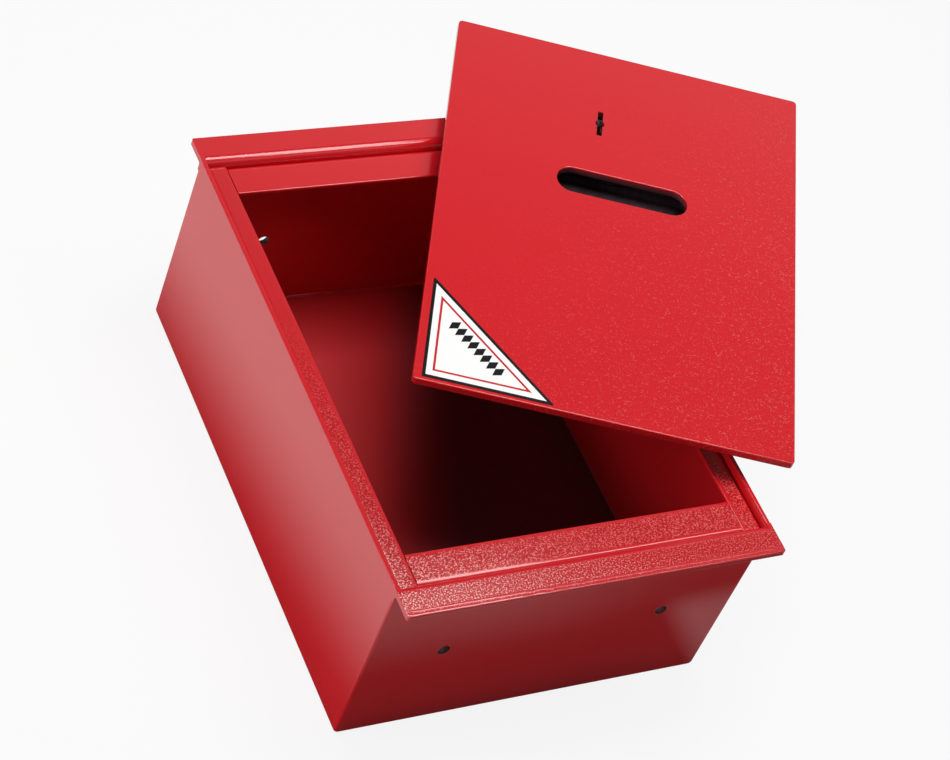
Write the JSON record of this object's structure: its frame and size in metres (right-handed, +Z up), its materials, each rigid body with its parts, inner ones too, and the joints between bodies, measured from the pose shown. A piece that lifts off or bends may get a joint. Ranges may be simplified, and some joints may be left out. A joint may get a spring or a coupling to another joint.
{
  "type": "floor safe",
  "caption": "Under-floor steel safe: flanged box that hangs between two joists, ledged mouth and a loose lid with finger slot and key lock.",
  "frame": {"origin": "centre of the underside of the box", "axes": "+Z up out of the mouth, +Y along the length towards the end that takes the bolt, +X across the width; the two flanged ends face -Y and +Y"},
  "size_m": [0.4268, 0.4467, 0.1737],
  "materials": {
    "red_powder_coat": "lightly textured gloss powder coat on sheet steel",
    "dark_pocket_coat": "dark coat on pressed steel",
    "lock_steel": "zinc-plated steel",
    "lock_brass": "stamped and turned brass",
    "printed_label": "white vinyl with a plain printed border"
  },
  "bodies": {
    "safe_box": {"body_shell": "red_powder_coat", "front_end_panel": "red_powder_coat", "rear_end_panel": "red_powder_coat", "ledge_left": "red_powder_coat", "ledge_right": "red_powder_coat", "ledge_front": "red_powder_coat", "ledge_rear": "red_powder_coat"},
    "lid": {"lid_plate": "red_powder_coat", "lid_tongue": "red_powder_coat", "finger_pocket": "dark_pocket_coat", "hardplate": "lock_steel", "lock_case": "lock_steel", "lock_cover": "lock_steel", "lock_screws": "lock_steel", "lever_guide": "lock_steel", "corner_label": "printed_label"},
    "barrel": {"key_barrel": "lock_brass"},
    "bolt": {"lock_bolt": "lock_steel"},
    "lever_1_body": {"lever_1": "lock_brass"},
    "lever_2_body": {"lever_2": "lock_brass"},
    "lever_3_body": {"lever_3": "lock_brass"},
    "lever_4_body": {"lever_4": "lock_brass"},
    "lever_5_body": {"lever_5": "lock_brass"},
    "lever_6_body": {"lever_6": "lock_brass"}
  },
  "joints": [
    {"name": "lid_lift", "type": "slide", "parent": "safe_box", "child": "lid", "axis": [0, 0, 1], "range_m": [0, 0.15]},
    {"name": "barrel_turn", "type": "hinge", "parent": "lid", "child": "barrel", "pos_m": [0.14772, 0.15098, 0.16102], "axis": [0.0506, 0, -0.9987], "range_deg": [0, 180]},
    {"name": "bolt_throw", "type": "slide", "parent": "lid", "child": "bolt", "axis": [0.4642, 0.8854, 0.0235], "range_m": [0, 0.012]},
    {"name": "lever_1_lift", "type": "slide", "parent": "lid", "child": "lever_1_body", "axis": [0.8843, -0.4648, 0.0448], "range_m": [0, 0.003]},
    {"name": "lever_2_lift", "type": "slide", "parent": "lid", "child": "lever_2_body", "axis": [0.8843, -0.4648, 0.0448], "range_m": [0, 0.0024]},
    {"name": "lever_3_lift", "type": "slide", "parent": "lid", "child": "lever_3_body", "axis": [0.8843, -0.4648, 0.0448], "range_m": [0, 0.0028]},
    {"name": "lever_4_lift", "type": "slide", "parent": "lid", "child": "lever_4_body", "axis": [0.8843, -0.4648, 0.0448], "range_m": [0, 0.0022]},
    {"name": "lever_5_lift", "type": "slide", "parent": "lid", "child": "lever_5_body", "axis": [0.8843, -0.4648, 0.0448], "range_m": [0, 0.0026]},
    {"name": "lever_6_lift", "type": "slide", "parent": "lid", "child": "lever_6_body", "axis": [0.8843, -0.4648, 0.0448], "range_m": [0, 0.002]}
  ],
  "couplings": [
    {"joint": "barrel_turn", "follows": "bolt_throw", "rad_per_m": 261.8},
    {"joint": "lever_1_lift", "follows": "bolt_throw", "ratio": 0.25},
    {"joint": "lever_2_lift", "follows": "bolt_throw", "ratio": 0.2},
    {"joint": "lever_3_lift", "follows": "bolt_throw", "ratio": 0.23333},
    {"joint": "lever_4_lift", "follows": "bolt_throw", "ratio": 0.18333},
    {"joint": "lever_5_lift", "follows": "bolt_throw", "ratio": 0.21667},
    {"joint": "lever_6_lift", "follows": "bolt_throw", "ratio": 0.16667}
  ]
}
